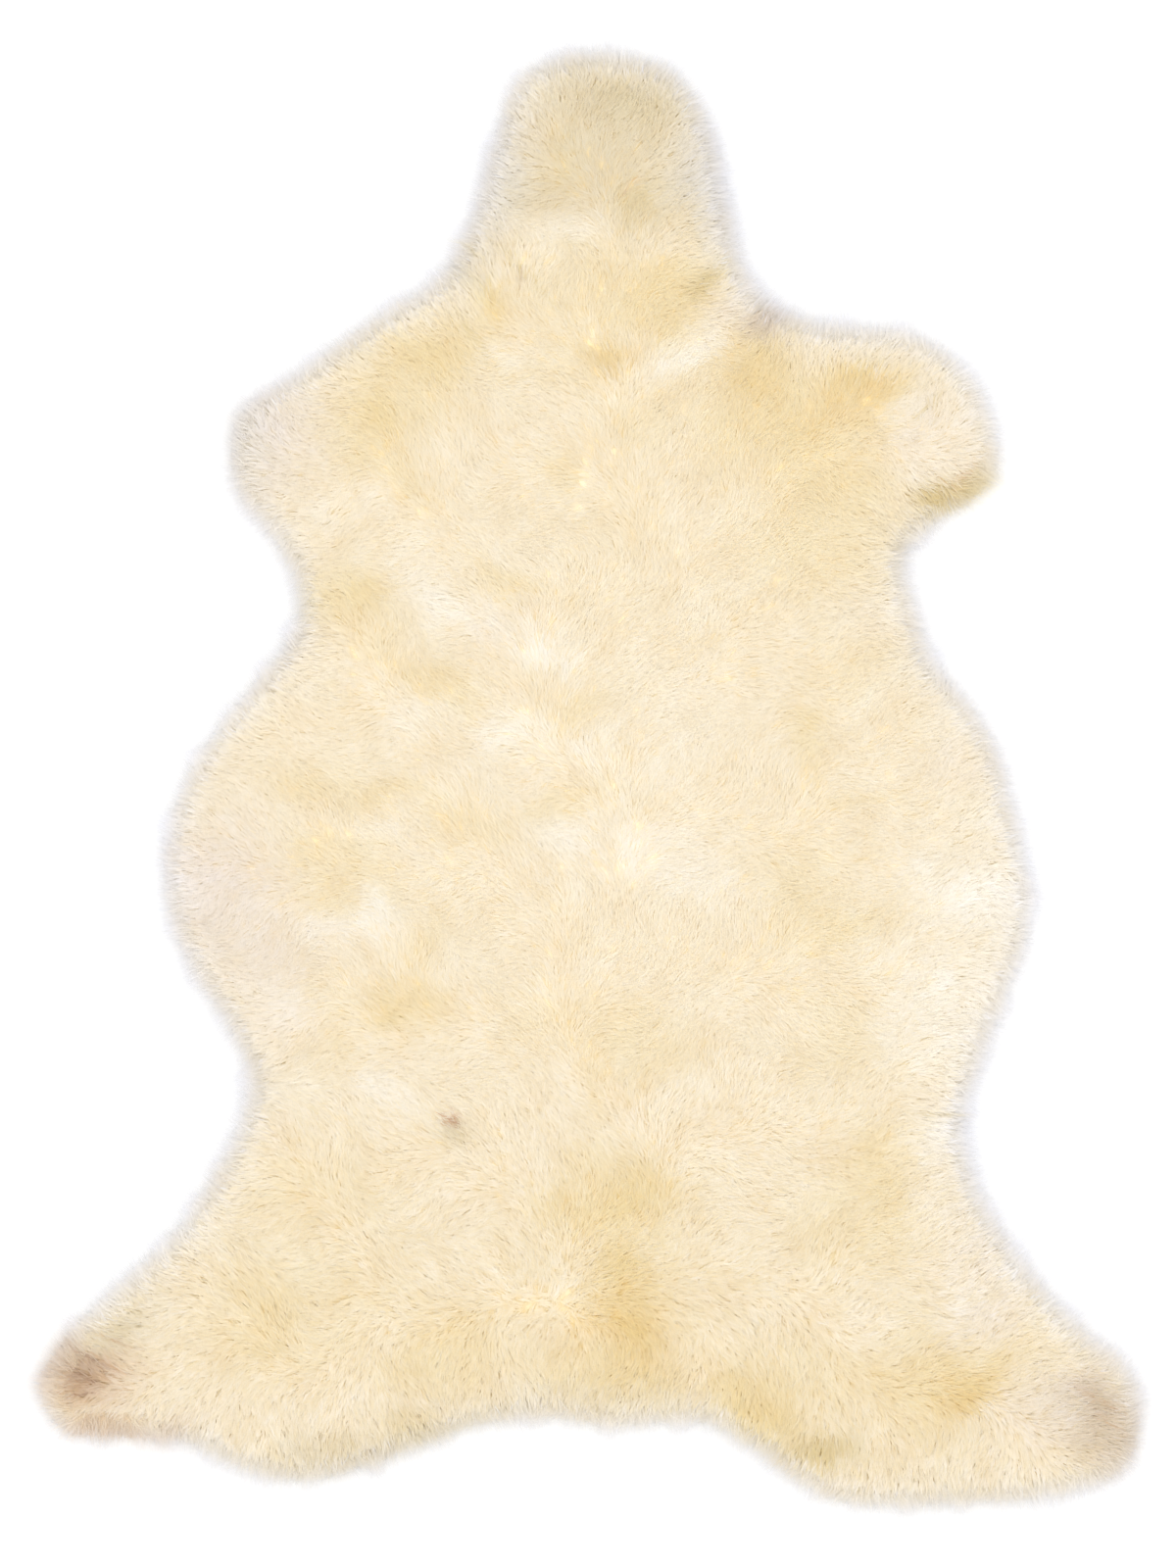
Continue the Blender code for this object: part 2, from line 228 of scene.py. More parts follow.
surface = BVHTree.FromBMesh(body)
ABOVE, DOWN = 1.0, Vector((0, 0, -1))
hits = [surface.ray_cast(Vector((x, y, ABOVE)), DOWN)[0] for x, y in squares]
heights = np.array([hit.z if hit else 0.0 for hit in hits])

fine_ring = resample(wool_ring, FINE_POINTS)
rim_distance = gap_to(fine_ring, squares)
inside = in_parts(lambda part: within(part, wool_ring), squares)
depth_in = np.where(inside, rim_distance, -rim_distance)

even_ring = resample(wool_ring, EVEN_POINTS)
ring_out = ways_out(even_ring)


def way_out(points):
    """The way out of the nearby rim. It is short where opposite rims pull alike."""
    gap = np.linalg.norm(points[:, None] - even_ring[None], axis=2)
    pull = np.exp(-gap / OUT_REACH)
    return (pull[:, :, None] * ring_out).sum(axis=1) / pull.sum(axis=1, keepdims=True)


out_way = in_parts(way_out, squares)
print(columns, "by", rows, "squares, wool up to", round(heights.max() / MM, 1), "mm high")


# %% Reading between the squares of the chart
TINY = 1e-9


def chart(values):
    return values.reshape(rows, columns, -1)


def smoothed(values, rounds):
    grid = chart(values)
    for _ in range(rounds):
        for axis in (0, 1):
            grid = (np.roll(grid, 1, axis) + 2 * grid + np.roll(grid, -1, axis)) / 4
    return grid


def read(grid, points):
    """Values of a chart at any points, blended between its squares."""
    across, along = ((points - low) / SQUARE).T
    i = np.clip(across.astype(int), 0, columns - 2)
    j = np.clip(along.astype(int), 0, rows - 2)
    u, v = (across - i)[:, None], (along - j)[:, None]
    left = grid[j, i] * (1 - v) + grid[j + 1, i] * v
    right = grid[j, i + 1] * (1 - v) + grid[j + 1, i + 1] * v
    return left * (1 - u) + right * u


def unit(vectors):
    return vectors / np.maximum(np.linalg.norm(vectors, axis=-1, keepdims=True), TINY)


height_chart = smoothed(heights, 1)
depth_chart = chart(depth_in)
slope_y, slope_x = np.gradient(smoothed(heights, 2)[:, :, 0], SQUARE)
normal_chart = unit(np.stack([-slope_x, -slope_y, np.ones_like(slope_x)], axis=-1))
print("steepest wool:", round(math.degrees(math.acos(normal_chart[..., 2].min()))), "degrees")

# %% [markdown]
# ## Ripples
# Nothing on an animal is even. Wherever the lesson needs a soft, natural change from place to
# place, such as wool that turns a little or colour that comes and goes, it adds a few waves
# that run in different directions. Random numbers alone would jump from point to point. The
# sum of waves is smooth, it has no pattern that the eye can follow, and with a fixed seed it
# is the same in every run.

# %% Soft changes from place to place
WAVES = 9
WAVE_LENGTHS = (1.4, 3.2)  # the shortest and the longest, as shares of the size asked for


def ripples(points, size, seed):
    """Smooth values, mostly between -1 and 1, that change over a size in metres."""
    rng = np.random.default_rng(seed)
    turn = rng.uniform(0, 2 * math.pi, WAVES)
    pace = 2 * math.pi / (size * rng.uniform(*WAVE_LENGTHS, WAVES))
    phase = rng.uniform(0, 2 * math.pi, WAVES)
    waves = np.sin(points @ (np.stack([np.cos(turn), np.sin(turn)]) * pace) + phase)
    return waves.sum(axis=1) / math.sqrt(WAVES / 2)


def layered(points, layers):
    """Ripples of several sizes in one. Each layer is a share, a size and a seed."""
    return sum(share * ripples(points, size, seed) for share, size, seed in layers)


print("ripples run from", ripples(squares, 0.05, 1).min().round(2), "up")

# %% [markdown]
# ## Which way the wool falls
# Wool on a lambskin falls away from the back: out to both sides, forwards over the head, and
# out along each leg. Near the rim it always points out. It could be combed stroke by stroke
# with a brush, but a few rules comb the whole chart at once and are easily changed: the
# chart's way out rules near the rim, and a line down the back parts the rest to the left and
# the right. Ripples then turn it a little, as a hand does that strokes the rug.

# %% Comb the chart
BACK_LINE = 0.012  # where the back runs, to the right of the middle
BACK_SWAY, SWAY_SIZE = 0.02, 0.08
ALONG_THE_BACK = np.array([0.3, 1.0])  # the sway changes along the back, hardly across it
PARTING = 0.09  # how far from the back the wool has turned to its side
HEADWARD = 0.38
RIM_RULES = 0.075  # how far in from the rim the way out still counts
RIM_PULL, RIM_CURVE = 1.6, 0.8  # how strongly it counts, and how evenly that builds up
SIDE_PULL = 0.75
STRAYS = ((math.radians(26), 0.045, 3), (math.radians(9), 0.018, 4))  # ripples that turn it
CALM, CALMEST = 0.03, 0.25  # how near the rim they weaken, and what is left of them there


def turned_by(ways, angles):
    c, s = np.cos(angles), np.sin(angles)
    return np.column_stack([ways[:, 0] * c - ways[:, 1] * s, ways[:, 0] * s + ways[:, 1] * c])


sway = BACK_SWAY * ripples(squares * ALONG_THE_BACK, SWAY_SIZE, 2)
side = np.tanh((squares[:, 0] - BACK_LINE - sway) / PARTING)
sideways = unit(np.column_stack([side, np.full(len(squares), HEADWARD)]))
rim_share = np.clip(np.linalg.norm(out_way, axis=1) * RIM_PULL, 0, 1)[:, None] ** RIM_CURVE
rim_share = rim_share * np.exp(-(np.clip(depth_in, 0, None) / RIM_RULES) ** 2)[:, None]
fall = unit(out_way) * rim_share + SIDE_PULL * sideways * (1 - rim_share)
fall = turned_by(fall, layered(squares, STRAYS) * np.clip(depth_in / CALM, CALMEST, 1))
fall_chart = chart(fall)
print("the wool is combed on", int(inside.sum()), "squares")

# %% [markdown]
# ## The colours of the wool
# Undyed wool is never one colour. Lanolin and sun leave honey-yellow patches on the shoulders
# and the rump, the belly stays nearly white, and the feet keep a grey or brown stain. They could
# be painted by hand on a flat picture of the rug. Named rows need no picture, and each can be
# read and moved: where a patch lies in millimetres from the middle of the skin, how large it
# is, how it is turned, and which tint it takes. Its middle stays where its row says, it fades
# out softly, and ripples push its edge about, so none of them looks like a stamped oval.
# Towards the rim the wool is painted paler. This is painted light: it offsets the shade on the
# rim's slope and stands in for light shining through its thin fibres. The tints are the colours
# seen in daylight, except the rim's, which is that painted light. dye() turns them into the
# paint that
# gives those colours under this light: light meets wool more than once before it comes back
# out, so the paint has to be paler than what is seen.

# %% Tints
# How bright wool of pure white paint looks here, in red, green and blue
BRIGHTEST = (1.045, 0.98, 0.905)
MEETINGS = 1.48  # how often light meets the wool before it comes back out

TINTS = {
    "cream": (248, 232, 203),
    "ivory": (251, 239, 220),
    "pearl": (252, 243, 230),
    "blush": (248, 234, 214),
    "rose": (243, 228, 210),
    "mist": (232, 220, 202),
    "straw": (245, 226, 185),
    "honey": (242, 219, 164),
    "amber": (238, 209, 139),
    "dun": (228, 209, 169),
    "ochre": (228, 204, 145),
    "ash": (214, 189, 156),
    "umber": (206, 158, 104),
    "bark": (140, 88, 56),
    "rust": (176, 96, 44),
    "slate": (150, 148, 150),
    # rim: lighter paint for the rim, painted light that offsets the shade on its slope
    "rim": (248, 245, 253),
}


def dye(tint):
    """The paint for a tint. Its first step is the usual one from screen colours to light."""
    shade = np.array(TINTS[tint]) / 255.0
    linear = np.where(shade > 0.04045, ((shade + 0.055) / 1.055) ** 2.4, shade / 12.92)
    return (linear / np.array(BRIGHTEST)) ** (1 / MEETINGS)


print("cream wool is painted", dye("cream").round(3))

# %% Patches on the front half, in millimetres from the middle of the skin
# name, across, along, half width, half length, turned in degrees, tint, strength
FRONT_PATCHES = (
    ("head", 10, 415, 54, 48, 0, "dun", 0.5),
    ("crown", 14, 464, 50, 26, 0, "dun", 0.7),
    ("crown right", 45, 450, 16, 20, 0, "ochre", 0.15),
    # The two mist patches at the sides of the head are painted shade where the wool curves down
    # to the rim
    ("head left painted shade", -58, 404, 16, 42, -14, "mist", 0.6),
    ("head right painted shade", 78, 395, 18, 44, 12, "mist", 0.7),
    ("forehead left", -22, 425, 12, 14, 0, "ochre", 0.3),
    ("forehead low", -34, 389, 22, 14, -20, "dun", 0.45),
    ("nape spot", 32, 389, 19, 12, -20, "ochre", 0.55),
    ("nape pale", -12, 370, 22, 20, 0, "ivory", 0.65),
    ("nape", 8, 332, 46, 26, 0, "straw", 0.8),
    ("nape right", 58, 327, 26, 15, 22, "honey", 0.6),
    ("neck right", 76, 336, 15, 7, 22, "ochre", 0.8),
    ("neck right pale", 92, 318, 20, 9, 45, "rose", 0.5),
    ("neck left rim", -84, 341, 14, 15, 0, "dun", 0.5),
    ("neck left", -67, 324, 15, 17, 10, "honey", 0.9),
    ("neck base", 13, 287, 20, 11, 0, "amber", 0.8),
    ("neck base left", -18, 292, 28, 12, 8, "honey", 0.6),
    ("shoulder middle", 32, 246, 24, 16, 0, "straw", 0.6),
    ("throat right", 52, 280, 30, 15, 32, "ivory", 0.8),
    ("throat left", -48, 284, 28, 9, -8, "ivory", 0.6),
    ("left shoulder", -138, 264, 54, 34, 22, "straw", 0.8),
    ("left shoulder top", -112, 287, 28, 15, 24, "honey", 0.7),
    ("left shoulder low", -145, 245, 18, 16, 0, "honey", 0.8),
    ("left foreleg", -216, 238, 30, 34, 0, "rose", 0.9),
    ("left arm streak", -132, 208, 34, 10, -35, "straw", 0.7),
    ("left arm pale", -172, 190, 24, 20, 0, "ivory", 0.3),
    ("left elbow", -154, 128, 22, 13, -8, "honey", 0.8),
    ("left elbow low", -146, 101, 22, 16, -40, "straw", 0.45),
    ("chest", -98, 117, 36, 17, -10, "ivory", 0.75),
    ("chest right", -66, 98, 24, 16, 0, "blush", 0.6),
    ("chest streak", -55, 133, 26, 6, -22, "straw", 0.8),
    ("withers", -35, 85, 17, 12, -25, "pearl", 0.6),
    ("withers low", -10, 50, 28, 10, 12, "straw", 0.8),
    ("withers top", -20, 208, 12, 12, 0, "straw", 0.7),
    ("back", 20, 175, 34, 40, 0, "straw", 0.2),
    ("right shoulder", 142, 236, 54, 34, 0, "honey", 0.75),
    ("right shoulder left", 110, 273, 23, 16, -10, "amber", 0.65),
    ("right shoulder right", 176, 271, 20, 14, 8, "amber", 0.75),
    ("right shoulder low", 174, 200, 28, 19, 0, "honey", 0.55),
    ("right armpit", 140, 163, 48, 30, 0, "straw", 0.8),
    ("right foreleg", 226, 240, 22, 24, 0, "blush", 0.8),
    ("right neck rim", 117, 310, 13, 12, 0, "ash", 0.75),
    ("right side top", 190, 105, 16, 14, 30, "blush", 0.5),
    ("right side", 176, 74, 30, 22, 30, "straw", 0.4),
    ("right side spot", 146, 38, 13, 16, 0, "honey", 0.6),
)

# %% Patches on the back half
BACK_PATCHES = (
    ("back left streak", -112, 68, 34, 8, -36, "honey", 0.5),
    ("back left pale", -126, 42, 24, 13, 0, "ivory", 0.5),
    ("back pale", -60, 34, 22, 14, 20, "ivory", 0.9),
    ("back pale right", -12, 18, 30, 11, 22, "ivory", 0.6),
    ("back right", 62, 42, 34, 34, 0, "ivory", 0.3),
    ("side left upper", -194, -6, 24, 12, 0, "honey", 0.4),
    ("side left middle", -138, -5, 22, 8, -4, "honey", 0.45),
    ("side left inner", -94, -28, 26, 9, -24, "honey", 0.35),
    ("side left low", -186, -44, 32, 15, 0, "straw", 0.8),
    ("side left lower", -168, -76, 30, 12, 8, "straw", 0.6),
    ("side left pale", -130, -36, 17, 10, 0, "ivory", 0.6),
    ("saddle", -20, -16, 60, 8, 6, "straw", 0.5),
    ("saddle pale", 0, -42, 46, 11, 6, "ivory", 0.7),
    ("saddle bright", -18, -56, 13, 13, 40, "ivory", 0.4),
    ("belly left", -256, -62, 34, 42, 0, "rose", 0.9),
    ("belly left low", -220, -118, 34, 26, 0, "rose", 0.7),
    ("belly left hip", -214, -158, 26, 18, 0, "blush", 0.7),
    ("flank bright", -146, -92, 20, 10, 8, "pearl", 0.7),
    ("flank bright left", -180, -100, 26, 9, 0, "blush", 0.4),
    ("flank top", -112, -110, 20, 8, 60, "straw", 0.7),
    ("flank", -141, -159, 18, 15, 0, "honey", 0.7),
    ("flank left", -172, -165, 14, 24, 0, "straw", 0.5),
    ("flank pale", -138, -203, 26, 12, -6, "ivory", 0.8),
    ("loin", 24, -168, 34, 20, 0, "honey", 0.35),
    ("loin left", -34, -158, 26, 14, 10, "straw", 0.4),
    ("loin low", 2, -216, 12, 30, 0, "straw", 0.6),
    ("saddle right top", 50, -16, 28, 18, 0, "ivory", 0.45),
    ("saddle right", 64, -62, 34, 18, 0, "ivory", 0.8),
    ("side right band", 172, -15, 34, 6, 4, "straw", 0.5),
    ("side right low", 134, -72, 24, 24, 0, "straw", 0.6),
    ("side right lower", 172, -101, 34, 13, 6, "straw", 0.8),
    ("side right hip", 172, -172, 24, 28, 0, "straw", 0.5),
    ("belly right high", 240, 12, 20, 20, 0, "blush", 0.6),
    ("belly right", 264, -80, 46, 38, 0, "ivory", 1.0),
    ("belly right low", 240, -158, 34, 38, 0, "ivory", 1.0),
    ("belly right hip", 237, -236, 23, 32, 0, "ivory", 0.8),
    ("hip right", 190, -258, 22, 28, 0, "honey", 0.55),
    ("hip right low", 188, -312, 40, 34, 0, "straw", 0.6),
    ("hock right", 264, -332, 24, 40, 16, "blush", 0.6),
    ("rump wide", 12, -340, 66, 48, 0, "straw", 0.7),
    ("rump left", -16, -290, 30, 16, 6, "honey", 0.6),
    ("rump", 24, -284, 26, 22, 0, "honey", 0.9),
    ("rump stripe", 22, -330, 15, 26, 0, "honey", 0.9),
    ("tail", 29, -373, 31, 27, -8, "amber", 0.9),
    ("tail low", 12, -404, 44, 13, 0, "honey", 0.4),
    ("rump pale", -30, -342, 17, 22, 0, "ivory", 0.4),
    ("hip left", -190, -272, 48, 24, 10, "straw", 0.6),
    ("thigh left", -214, -366, 34, 26, 0, "honey", 0.6),
    ("thigh left wide", -186, -346, 60, 44, 0, "straw", 0.5),
    ("thigh left inner", -88, -378, 42, 24, 8, "honey", 0.55),
    ("thigh left pale", -134, -362, 16, 12, 0, "ivory", 0.4),
    ("hind left low", -118, -437, 34, 13, 12, "ochre", 0.55),
    ("hind left rim", -182, -454, 34, 13, 8, "dun", 0.5),
    ("rump rim", 10, -424, 90, 11, 0, "dun", 0.25),
    ("thigh right wide", 160, -404, 62, 30, 0, "straw", 0.7),
    ("thigh right pale", 184, -378, 24, 10, 0, "ivory", 0.5),
    ("thigh right top", 112, -430, 30, 13, -40, "honey", 1.0),
    ("thigh right low", 154, -451, 28, 11, -10, "ochre", 0.9),
    ("hind right wide", 238, -404, 40, 34, 0, "honey", 0.6),
    ("hind right", 258, -416, 36, 12, 40, "amber", 0.7),
    ("hind right pale", 268, -362, 21, 13, 20, "blush", 0.9),
    ("hind right out", 306, -434, 30, 22, 0, "rose", 0.5),
)

# %% Stains, which keep their colour up to the rim, and small marks with a sharp edge
STAINS = (
    ("left foreleg tip", -234, 234, 20, 26, 0, "mist", 0.5),
    ("right foreleg under", 235, 193, 23, 11, 38, "ochre", 1.0),
    ("hind right tip", 348, -430, 21, 28, 8, "ash", 0.55),
    ("hind right tip top", 338, -414, 22, 8, -30, "ash", 0.4),
    ("hind left brown", -346, -408, 24, 19, 0, "umber", 0.6),
    ("hind left top", -322, -376, 30, 11, 30, "dun", 0.65),
    ("hind left under", -325, -440, 34, 6, 0, "umber", 0.4),
    ("hind left tip", -350, -403, 12, 9, 0, "bark", 0.25),
)
MARKS = (
    ("burr", -95, -229, 4.5, 2.4, 55, "rust", 1.0),
    ("burr shade", -94, -237, 10, 8, 0, "dun", 0.7),
    ("toe streak high", -340, -391, 13, 0.9, -28, "bark", 0.5),
    ("toe streak middle", -344, -403, 11, 0.9, -35, "bark", 0.5),
    ("toe streak low", -346, -416, 10, 0.9, 15, "bark", 0.5),
    ("toe streak inner", -326, -396, 10, 0.8, -30, "umber", 0.6),
    ("heel streak", -322, -380, 9, 0.8, -22, "umber", 0.6),
    ("right toe streak", 344, -420, 16, 0.9, -32, "umber", 0.5),
    ("right toe streak low", 352, -436, 12, 0.9, -40, "umber", 0.4),
    ("foreleg streak low", 246, 200, 10, 1.0, 38, "umber", 0.4),
    ("foreleg top streak", 226, 252, 14, 0.8, 42, "ochre", 0.6),
    ("parting", -44, 341, 24, 0.9, -46, "ochre", 0.9),
    ("parting knot", -47, 339, 3.0, 2.0, -40, "bark", 0.3),
    ("parting left", -85, 362, 16, 0.8, -42, "ochre", 0.6),
    ("parting neck", -78, 296, 26, 1.2, -58, "ochre", 0.5),
    ("head speck", 27, 403, 2.4, 1.8, 0, "umber", 0.7),
    ("foreleg streak", 257, 211, 12, 1.0, 48, "umber", 0.5),
    ("hip crease", 236, -226, 20, 0.8, -4, "dun", 0.7),
    ("hide edge at the hip", 257, -232, 1.6, 5.0, 0, "slate", 0.8),
    ("hide edge low", 258, -248, 1.4, 3.0, 0, "slate", 0.6),
    ("hide edge at the armpit", 216, 158, 5.0, 0.9, 40, "slate", 0.35),
    ("belly tuft", 305, -79, 4.0, 2.4, 0, "ash", 0.7),
    ("belly fleck", -264, -97, 3.0, 2.0, 0, "ash", 0.4),
)

# %% The colour of the wool anywhere
WOOL_PAST_FOOT = 12 * MM  # how far the wool hangs out past its foot
# How far in the painted lightening of the rim reaches, and how much narrower it is at the hind
# end
PAINTED_RIM_LIGHT_FADE = 9.5 * MM
SHARPER_BEHIND = 0.3  # how much narrower the pale rim is where it faces the hind end
PATCH_PUSHES = ((4.5 * MM, 0.034, 11), (1.5 * MM, 0.011, 13))  # how far, ripple size, seed
PATCH_CURVE, PATCH_FADE = 1.1, 0.8  # how squarely a patch ends, and how much by its border
MOTTLE = (0.004, 0.008, 0.018)  # how much every small area differs, in red, green and blue
MOTTLE_LAYERS = ((1.0, 0.018, 15), (0.7, 0.007, 16))
WHITEST = 0.985


def pushed(points, pushes):
    """Where ripples push each point, so that no patch keeps the edge of an oval."""
    for far, size, seed in pushes:
        ways = [ripples(points, size, seed), ripples(points, size, seed + 1)]
        points = points + far * np.column_stack(ways)
    return points


def patch_share(gap, wide, long, turn, strength):
    """How much of a patch's tint a point takes, by its gap from the patch's middle."""
    x, y = gap.T
    c, s = math.cos(math.radians(turn)), math.sin(math.radians(turn))
    u, v = (x * c + y * s) / (wide * MM), (y * c - x * s) / (long * MM)
    return strength * np.exp(-((u * u + v * v) ** PATCH_CURVE) * PATCH_FADE)


def stained(colour, points, table, pushes=PATCH_PUSHES):
    """The colour with each patch laid over it. A patch's middle stays where its row says."""
    moved = pushed(points, pushes)
    for _, across, along, wide, long, turn, tint, strength in table:
        middle = pushed(np.array([[across, along]]) * MM, pushes)
        share = patch_share(moved - middle, wide, long, turn, strength)[:, None]
        colour = colour * (1 - share) + dye(tint) * share
    return colour


def wool_colour(points):
    """The colour of the wool at each point, as paint, with painted light that pales the rim."""
    colour = np.tile(dye("cream"), (len(points), 1))
    colour = stained(colour, points, FRONT_PATCHES + BACK_PATCHES)
    colour = colour * (1 + layered(points, MOTTLE_LAYERS)[:, None] * np.array(MOTTLE))
    # pale is the share of painted light at the rim: lighter paint that offsets the shade on its
    # slope
    depth = np.clip(read(depth_chart, points) + WOOL_PAST_FOOT, 0, None)
    facing_hind = np.clip(-read(chart(out_way), points)[:, 1:], 0, 1)
    pale = np.exp(-depth / (PAINTED_RIM_LIGHT_FADE * (1 - SHARPER_BEHIND * facing_hind)))
    colour = colour * (1 - pale) + dye("rim") * pale
    colour = stained(colour, points, STAINS)
    return np.minimum(stained(colour, points, MARKS, pushes=()), WHITEST)


print(len(FRONT_PATCHES + BACK_PATCHES), "patches,",
      len(STAINS), "stains and", len(MARKS), "marks")

# %% [markdown]
# ## Meshes made from arrays
# The wool is about 370,000 thin blades, in locks of eight. Adding them one by one would take
# minutes, so each mesh is written in one go from arrays of corners and faces. Every point
# also carries its colour and how far along its blade it is. Normals are given too: a blade
# takes most of its normal from the fleece under it, so thousands shade as one soft surface.

# %% Build one mesh out of many small ones
def paint_points(mesh, colours):
    """Write a colour for every point of the mesh, for the wool's material to read."""
    paint = mesh.attributes.new("tint", "FLOAT_COLOR", "POINT")
    colours = np.column_stack([colours, np.ones(len(colours))])
    paint.data.foreach_set("color", colours.astype(np.float32).ravel())


def joined(name, bunches):
    """Bunches are (corners, faces, normals, colours, along), the first of shape (n, k, 3)."""
    places, normals, colours, alongs, loops, totals, count = [], [], [], [], [], [], 0
    for corners, faces, normal, colour, along in bunches:
        n, k = corners.shape[:2]
        places.append(corners.reshape(-1, 3))
        normals.append(np.broadcast_to(normal, corners.shape).reshape(-1, 3))
        colours.append(np.broadcast_to(colour, corners.shape).reshape(-1, 3))
        alongs.append(np.broadcast_to(along, (n, k)).reshape(-1))
        pattern = np.concatenate([np.array(face) for face in faces])
        loops.append((np.arange(n)[:, None] * k + pattern + count).ravel())
        totals.append(np.tile([len(face) for face in faces], n))
        count += n * k
    places, normals, colours = map(np.concatenate, (places, normals, colours))
    loops, totals = np.concatenate(loops), np.concatenate(totals)
    mesh = bpy.data.meshes.new(name)
    mesh.vertices.add(len(places))
    mesh.vertices.foreach_set("co", places.astype(np.float32).ravel())
    mesh.loops.add(len(loops))
    mesh.loops.foreach_set("vertex_index", loops.astype(np.int32))
    mesh.polygons.add(len(totals))
    starts = np.concatenate([[0], np.cumsum(totals)[:-1]])
    mesh.polygons.foreach_set("loop_start", starts.astype(np.int32))
    mesh.update(calc_edges=True)
    mesh.shade_smooth()
    mesh.normals_split_custom_set_from_vertices(unit(normals).tolist())
    paint_points(mesh, colours)
    run = mesh.attributes.new("along", "FLOAT", "POINT")
    run.data.foreach_set("value", np.concatenate(alongs).astype(np.float32))
    plan = mesh.uv_layers.new(name="OFBake")
    flat = places[:, :2]
    flat = (flat - flat.min(axis=0)) / (flat.max(axis=0) - flat.min(axis=0)).max()
    plan.data.foreach_set("uv", flat[loops].astype(np.float32).ravel())
    return mesh


def triangles(mesh):
    totals = np.empty(len(mesh.polygons), dtype=np.int32)
    mesh.polygons.foreach_get("loop_total", totals)
    return int((totals - 2).sum())


def show(name, mesh, material):
    piece = in_scene(name, mesh)
    mesh.materials.append(material)
    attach(piece, "root")
    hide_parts("sheepskin")
    print(name, "has", triangles(mesh), "triangles")
    return piece


# %% [markdown]
# ## The finish of the wool
# Wool is matt with a faint silky sheen, because light runs along the fibres. Its paint comes
# from the colours worked out above. The material makes each lock a little deeper in colour
# near its root. This is partly the yellowing of lanolin and partly painted shade deep in the
# pile, so that the small shadows between the locks look golden. A fine noise varies it from
# fibre to fibre. Thin locks also pass some light on to what lies behind them. A plain matt paint
# alone would make the fleece look as hard as straw, because every small shadow between the locks
# goes dark.

# %% Helpers that build a material
def node(tree, kind, **settings):
    """A new node. A setting goes to the input of that name, or else to the node itself."""
    made = tree.nodes.new(kind)
    for key, value in settings.items():
        if key in made.inputs:
            made.inputs[key].default_value = value
        else:
            setattr(made, key, value)
    return made


def link(tree, giver, output, taker, entry):
    tree.links.new(giver.outputs[output], taker.inputs[entry])


def plain_material(name, shine):
    """A new material, with its tree of nodes and its shader."""
    material = bpy.data.materials.new(name)
    material.use_nodes = True
    shader = material.node_tree.nodes["Principled BSDF"]
    for entry, value in shine.items():
        shader.inputs[entry].default_value = value
    return material, material.node_tree, shader


print("materials before the first:", len(bpy.data.materials))

# %% Wool material
WOOL_SHINE = {
    "Roughness": 0.9, "Sheen Weight": 0.08, "Sheen Roughness": 0.6, "Specular IOR Level": 0.15}
FIBRE_NOISE = 420.0  # spots of noise along a metre
PURE_WHITE = (1.0, 1.0, 1.0, 1.0)
# The deeper colour of a lock's root is partly lanolin's yellow and partly painted shade in the
# pile
ROOT_ENDS = 0.6  # how far along a lock the deeper colour of its root fades out


def wool_material(name, root_tint_and_shade, fleck, passed):
    """Wool of one kind. A share of the light is passed on, and flecks vary the paint."""
    material, tree, shader = plain_material(name, WOOL_SHINE)
    tint = node(tree, "ShaderNodeAttribute", attribute_name="tint")
    along = node(tree, "ShaderNodeAttribute", attribute_name="along")
    place = node(tree, "ShaderNodeTexCoord")
    noise = node(tree, "ShaderNodeTexNoise", Scale=FIBRE_NOISE, Detail=2.0)
    above_root = node(tree, "ShaderNodeMapRange", **{"From Max": ROOT_ENDS})
    root_warmth_and_shade = node(tree, "ShaderNodeMix", data_type="RGBA", A=(*root_tint_and_shade, 1.0), B=PURE_WHITE)
    warmed_and_shaded = node(tree, "ShaderNodeVectorMath", operation="MULTIPLY")
    spread = node(tree, "ShaderNodeMapRange", **{"To Min": 1.0 - fleck, "To Max": 1.0 + fleck})
    paint = node(tree, "ShaderNodeVectorMath", operation="SCALE")
    through = node(tree, "ShaderNodeBsdfTranslucent")
    blend = node(tree, "ShaderNodeMixShader", Fac=passed)
    link(tree, place, "Object", noise, "Vector")
    link(tree, along, "Fac", above_root, "Value")
    link(tree, above_root, "Result", root_warmth_and_shade, "Factor")
    link(tree, noise, "Fac", spread, "Value")
    link(tree, tint, "Color", warmed_and_shaded, 0)
    link(tree, root_warmth_and_shade, "Result", warmed_and_shaded, 1)
    link(tree, warmed_and_shaded, "Vector", paint, "Vector")
    link(tree, spread, "Result", paint, "Scale")
    link(tree, paint, "Vector", shader, "Base Color")
    link(tree, paint, "Vector", through, "Color")
    link(tree, shader, "BSDF", blend, 1)
    link(tree, through, "BSDF", blend, 2)
    link(tree, blend, "Shader", tree.nodes["Material Output"], "Surface")
    return material


combed_wool = wool_material(
    "combed_wool", root_tint_and_shade=(1.0, 0.955, 0.83), fleck=0.012, passed=0.6)
# The whole underwool takes the deeper root colour: partly lanolin, partly painted shade under
# the locks
underwool = wool_material("underwool", root_tint_and_shade=(1.0, 0.93, 0.76), fleck=0.04, passed=0.25)
print("wool materials:", combed_wool.name, underwool.name)

# %% [markdown]
# ## The hide
# The hide is a thin suede sheet, tanned and trimmed by hand. A flat shape with a thickness
# modifier would do too. Here its ring is filled with even triangles for both sides of the
# sheet, and a strip closes the cut edge, so nothing is left to work out later. It is two
# millimetres thick and lies flat on the floor.

# %% Fill a ring with even triangles
WITHIN_BORDER = 1  # what the triangulation returns: only what is inside the ring
ROW_GAP = 0.866  # between staggered rows of points, as a share of the gap in a row
RING_CLEAR = 0.6  # how near the ring an inner point may be, as a share of that gap


